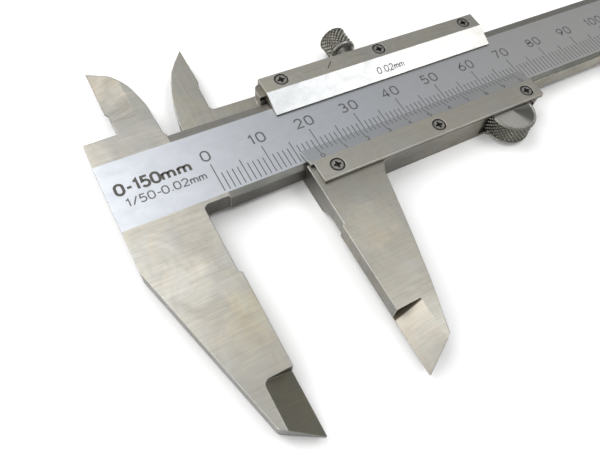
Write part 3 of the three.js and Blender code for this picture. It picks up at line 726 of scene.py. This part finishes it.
def knurled_piece(name, origin, axis, profile, grip, teeth, pitch, depth, look, body, extra=()):
    """A turned piece. profile is [radius, along] in mm from one end to the other; the stretch named by grip
    (low, high) carries a diamond knurl cut by two families of crossing grooves. extra gives other finishes
    to stretches of the profile as (finish, first, last) profile indices."""
    around = teeth * STEPS
    rows = []
    for index, ((r0, a0), (r1, a1)) in enumerate(zip(profile, profile[1:])):
        knurled = a0 >= grip[0] - 1e-6 and a1 <= grip[1] + 1e-6 and abs(a1 - a0) > 0.5
        count = max(1, round((a1 - a0) / (pitch / STEPS))) if knurled else 1
        for k in range(count):
            t = k / count
            rows.append((r0 + (r1 - r0) * t, a0 + (a1 - a0) * t, index))
    rows.append((*profile[-1], len(profile) - 2))
    points = []
    for radius, along, _ in rows:
        cut = grip[0] - 1e-6 <= along <= grip[1] + 1e-6
        for k in range(around):
            turn = k / around
            r = radius
            if cut:
                u = turn * teeth + along / pitch
                v = turn * teeth - along / pitch
                fade = min(1.0, (along - grip[0]) / RUN_OUT, (grip[1] - along) / RUN_OUT)
                r = radius - depth * (1 - min(ridge(u), ridge(v))) * max(fade, 0.0)
            a = turn * 2 * math.pi
            if axis == "Z":
                p = Vector((r * math.cos(a), r * math.sin(a), along))
            else:
                p = Vector((r * math.sin(a), along, r * math.cos(a)))
            points.append(p * MM)
    faces = []
    finish = []
    pick = {i: n + 1 for n, (_, first, last) in enumerate(extra) for i in range(first, last)}
    for i in range(len(rows) - 1):
        for k in range(around):
            k2 = (k + 1) % around
            a, b = i * around + k, i * around + k2
            c, d = a + around, b + around
            faces.append((a, b, d, c))
            finish.append(pick.get(rows[i][2], 0))
    faces.append(tuple(reversed(range(around))))
    top = (len(rows) - 1) * around
    faces.append(tuple(range(top, top + around)))
    finish += [pick.get(0, 0), pick.get(len(profile) - 2, 0)]
    obj = make_piece(name, points, faces, look, body)
    for other, _, _ in extra:
        obj.data.materials.append(other)
    for polygon, index in zip(obj.data.polygons, finish):
        polygon.material_index = index
    obj.location = origin
    return obj


def centre_of(node):
    lo, hi = (Vector(v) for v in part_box(node))
    return (lo + hi) / 2, hi - lo


wheel_mid, wheel_size = centre_of("thumb_wheel")
wheel_r = wheel_size.x / 2 / MM
wheel_h = wheel_size.z / 2 / MM
wheel_disc = turned_finish("wheel_face_finish", (0.14, 0.14, 0.13), (0.54, 0.52, 0.485))
rim = wheel_r - 0.62
wheel = knurled_piece(
    "thumb_roller_visual", wheel_mid, "Z",
    [(1.0, -wheel_h + 0.1), (rim, -wheel_h), (wheel_r - 0.32, -wheel_h), (wheel_r, -wheel_h + 0.32),
     (wheel_r, wheel_h - 0.32), (wheel_r - 0.32, wheel_h), (rim, wheel_h), (rim - 0.12, wheel_h - 0.10),
     (1.0, wheel_h - 0.10)],
    (-wheel_h + 0.32, wheel_h - 0.32), 34, 0.96, 0.30, KNURL_LOOK, "roller",
    extra=[(wheel_disc, 6, 9), (RIM_SHEEN_LOOK, 5, 6)])
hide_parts("thumb_wheel")

lock_lo, lock_hi = (Vector(v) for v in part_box("lock_screw"))
lock_mid, lock_size = centre_of("lock_screw")
lock_r = lock_size.x / 2 / MM
tip = (lock_lo.y - ZERO.y) / MM
end = (lock_hi.y - ZERO.y) / MM
neck = RAIL_TOP + 0.15
lock = knurled_piece(
    "lock_screw_visual", Vector((lock_mid.x, ZERO.y, lock_mid.z)), "Y",
    [(0.85, tip), (1.25, tip + 0.35), (1.25, neck), (2.0, neck), (2.0, neck + 0.6),
     (lock_r - 0.75, neck + 2.2), (lock_r - 0.75, neck + 2.5), (lock_r - 0.25, neck + 2.75),
     (lock_r, neck + 3.05), (lock_r, end - 0.5), (lock_r - 0.6, end)],
    (neck + 3.05, end - 0.5), 20, 0.92, 0.30, KNURL_LOOK, "lock",
    extra=[(LOCK_CONE_LOOK, 0, 5), (RIM_SHEEN_LOOK, 6, 8)])
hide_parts("lock_screw")


# ---------------------------------------------------------------- floor and light
def stage_floor():
    half = 1.5
    mesh = bpy.data.meshes.new("floor")
    corners = [(-half, -half, 0), (half, -half, 0), (half, half, 0), (-half, half, 0)]
    mesh.from_pydata(corners, [], [(0, 1, 2, 3)])
    look = Look("floor_paper", metallic=0.0, roughness=0.7)
    soft = look.noise((30, 30, 30), 2.0, 0.5)
    look.colour(look.mix(soft, (0.975, 0.975, 0.972), (0.995, 0.995, 0.99)))
    mesh.materials.append(look.mat)
    obj = bpy.data.objects.new("floor", mesh)
    obj.location = (0, 0, -FLOOR_GAP)
    bpy.context.scene.collection.objects.link(obj)


WATTS_PER_AREA = 4.0        # watts a square metre of a softbox of brightness 1
LIGHT_FAR = 0.9             # metres from the object to a softbox


def softbox(name, place, target, width, height, power, tint=(1, 1, 1)):
    data = bpy.data.lights.new(name, "AREA")
    data.shape = "RECTANGLE"
    data.size = width
    data.size_y = height
    data.energy = power
    data.color = tint
    obj = bpy.data.objects.new(name, data)
    obj.location = place
    obj.rotation_euler = (Vector(target) - Vector(place)).to_track_quat("-Z", "Y").to_euler()
    bpy.context.scene.collection.objects.link(obj)


def soft_light(name, toward, spread_deg, radiance, tint=(1, 1, 1)):
    """A square softbox that the object sees in a given direction, at a half angle and brightness."""
    direction = Vector(toward).normalized()
    size = 2 * LIGHT_FAR * math.tan(math.radians(spread_deg))
    power = radiance * WATTS_PER_AREA * size * size
    softbox(name, middle + direction * LIGHT_FAR, middle, size, size, power, tint)


stage_floor()
middle = at(20, -5, 0)      # what the lights point at
soft_light("back_overhead", (-0.30, 0.52, 0.80), 21, 2.15, (1.0, 1.0, 1.0))
soft_light("back_low", (-0.45, 0.78, 0.44), 14, 2.6, (1.0, 1.0, 1.0))
soft_light("front_overhead", (0.53, -0.14, 0.83), 14, 3.1, (1.0, 0.995, 0.985))
soft_light("left", (-0.86, 0.16, 0.46), 23, 0.40, (1.0, 0.965, 0.93))
soft_light("edge", (-0.89, -0.30, 0.36), 11, 4.6)


def studio_world():
    """An even pale room that grows darker towards the low right."""
    world = bpy.data.worlds.new("studio")
    world.use_nodes = True
    tree = world.node_tree
    coords = tree.nodes.new("ShaderNodeTexCoord")
    split = tree.nodes.new("ShaderNodeSeparateXYZ")
    tree.links.new(coords.outputs["Generated"], split.inputs[0])
    fade = tree.nodes.new("ShaderNodeMapRange")
    tree.links.new(split.outputs[0], fade.inputs[0])
    for socket, value in zip(fade.inputs[1:5], (0.40, 0.95, 0.56, 0.27)):
        socket.default_value = value
    background = tree.nodes["Background"]
    background.inputs[0].default_value = (0.98, 0.99, 1.0, 1.0)
    tree.links.new(fade.outputs[0], background.inputs[1])
    return world


bpy.context.scene.world = studio_world()
